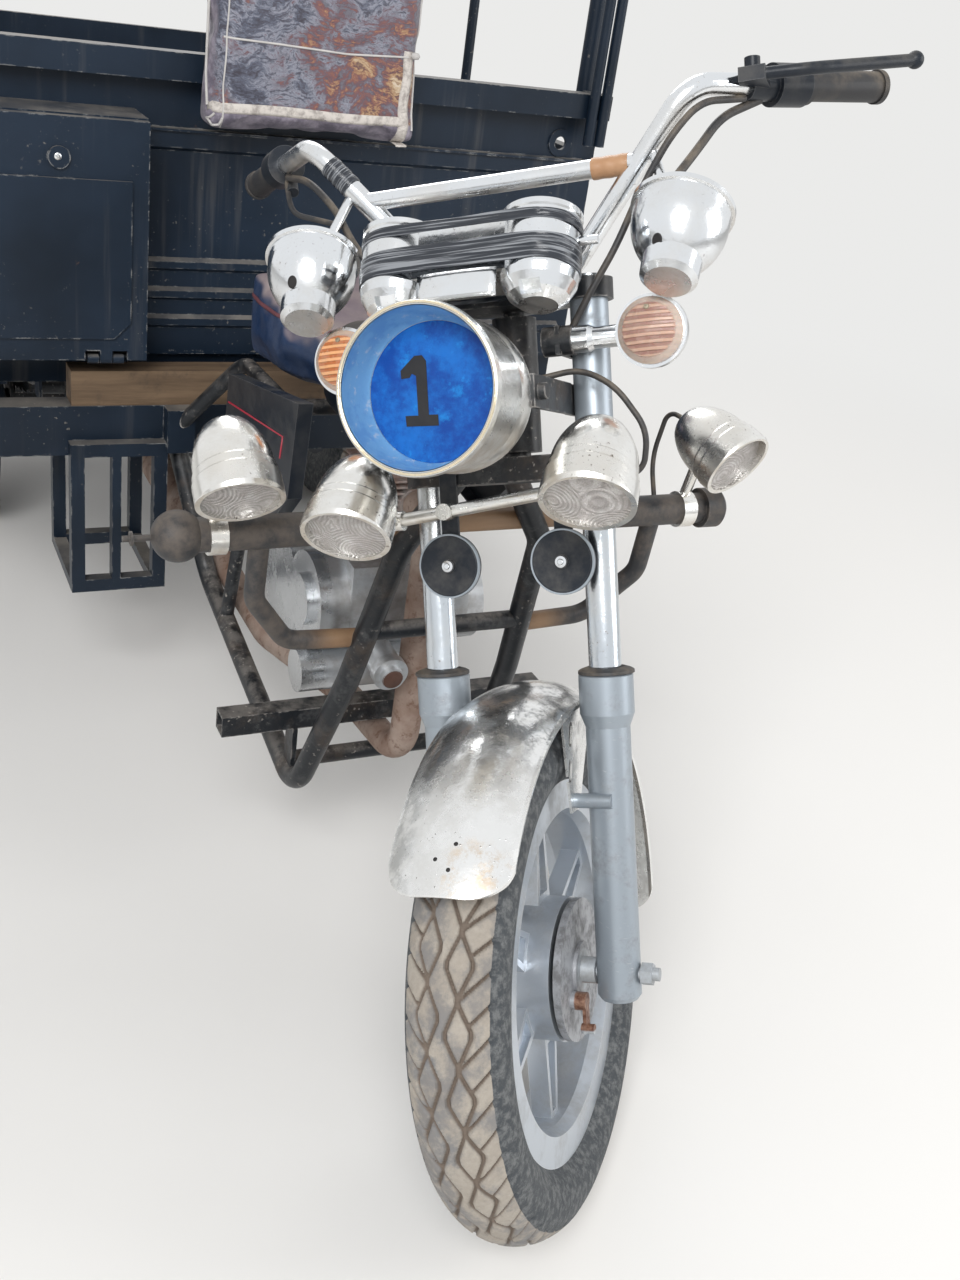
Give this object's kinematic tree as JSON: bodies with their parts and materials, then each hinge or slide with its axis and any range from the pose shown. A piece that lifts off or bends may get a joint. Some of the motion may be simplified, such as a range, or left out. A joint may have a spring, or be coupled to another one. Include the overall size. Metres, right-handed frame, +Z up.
{
  "type": "cargo motor tricycle",
  "caption": "Cargo motor tricycle with telescopic fork, hooded lamp, crash bar with spot lamps, open engine cradle, and a sheet-metal bed with a hoop rack and tailgate.",
  "frame": {"origin": "on the ground under the middle of the bounding box, on the centre plane", "axes": "+Z up, the front faces -Y, the vehicle's left is +X"},
  "size_m": [1.26, 3.3419, 1.62],
  "materials": {
    "frame_black": "dusty black paint, chipped to rust and bare steel",
    "bed_black": "dusty black paint with pale worn edges",
    "fender_steel": "scuffed bright steel with dust",
    "chrome": "dull chrome with specks and dust",
    "fork_silver": "dusty silver paint on cast aluminium",
    "rim_silver": "cast alloy under dust",
    "rim_paint": "black paint under dust",
    "tyre": "dusty black rubber",
    "rubber": "moulded rubber",
    "plastic_black": "dusty black plastic",
    "plate_blue": "mottled blue plate",
    "amber": "faded amber lens",
    "red_lens": "red lens",
    "glass": "clear patterned lens",
    "seat_vinyl": "blue vinyl, dusty",
    "cushion_cloth": "printed cloth cover",
    "engine_metal": "grimy cast aluminium",
    "exhaust_rust": "rusted steel",
    "timber": "rough timber"
  },
  "bodies": {
    "chassis": {"main_frame": "frame_black", "chassis_rails": "frame_black", "crash_bar": "frame_black", "bullet_lamps": "chrome", "bullet_lenses": "glass", "lamp_cables": "rubber", "fuel_tank": "frame_black", "seat": "seat_vinyl", "side_covers": "plastic_black", "crankcase": "engine_metal", "cylinder": "engine_metal", "exhaust": "exhaust_rust", "footrest": "frame_black", "rear_axle": "frame_black", "leaf_springs": "frame_black", "rear_mudguards": "bed_black", "bed_floor": "bed_black", "bed_front_wall": "bed_black", "bed_sides": "bed_black", "locker_box": "bed_black", "timber_beam": "timber", "backrest_cushion": "cushion_cloth", "rear_bumper": "frame_black", "tail_lamps": "red_lens"},
    "steering": {"fork_covers": "fork_silver", "light_bar": "chrome", "fork_lamps": "chrome", "fork_lamp_lenses": "glass", "front_axle": "fork_silver", "fork_sliders": "fork_silver", "fork_stanchions": "chrome", "fork_clamps": "frame_black", "front_fender": "fender_steel", "handlebar": "chrome", "grips": "rubber", "hand_controls": "plastic_black", "headlight_shell": "chrome", "headlight_plate": "plate_blue", "signal_bodies": "chrome", "signal_lenses": "amber", "gauge_pod": "chrome", "control_cables": "rubber", "speaker_pods": "chrome", "horns": "plastic_black"},
    "front_wheel": {"front_rim": "rim_silver", "front_tyre": "tyre"},
    "rear_wheel_left": {"rear_rim_left": "rim_paint", "rear_tyre_left": "tyre"},
    "rear_wheel_right": {"rear_rim_right": "rim_paint", "rear_tyre_right": "tyre"},
    "tailgate": {"tailgate": "bed_black"},
    "locker_door": {"locker_door": "bed_black"}
  },
  "joints": [
    {"name": "steer", "type": "hinge", "parent": "chassis", "child": "steering", "pos_m": [0, -1.09345, 0.93393], "axis": [0, 0.4226, 0.9063], "range_deg": [0, 92]},
    {"name": "front_wheel_spin", "type": "hinge", "parent": "steering", "child": "front_wheel", "pos_m": [-0.02518, -1.41131, 0.30979], "axis": [0.6947, -0.6519, 0.304], "continuous": true},
    {"name": "rear_wheel_left_spin", "type": "hinge", "parent": "chassis", "child": "rear_wheel_left", "pos_m": [0.48, 0.839, 0.284], "axis": [1, 0, 0], "continuous": true},
    {"name": "rear_wheel_right_spin", "type": "hinge", "parent": "chassis", "child": "rear_wheel_right", "pos_m": [-0.48, 0.839, 0.284], "axis": [1, 0, 0], "continuous": true},
    {"name": "tailgate_hinge", "type": "hinge", "parent": "chassis", "child": "tailgate", "pos_m": [0, 1.631, 0.696], "axis": [-1, 0, 0], "range_deg": [0, 95]},
    {"name": "locker_door_hinge", "type": "hinge", "parent": "chassis", "child": "locker_door", "pos_m": [-0.441, -0.226, 0.714], "axis": [1, 0, 0], "range_deg": [0, 90]}
  ]
}
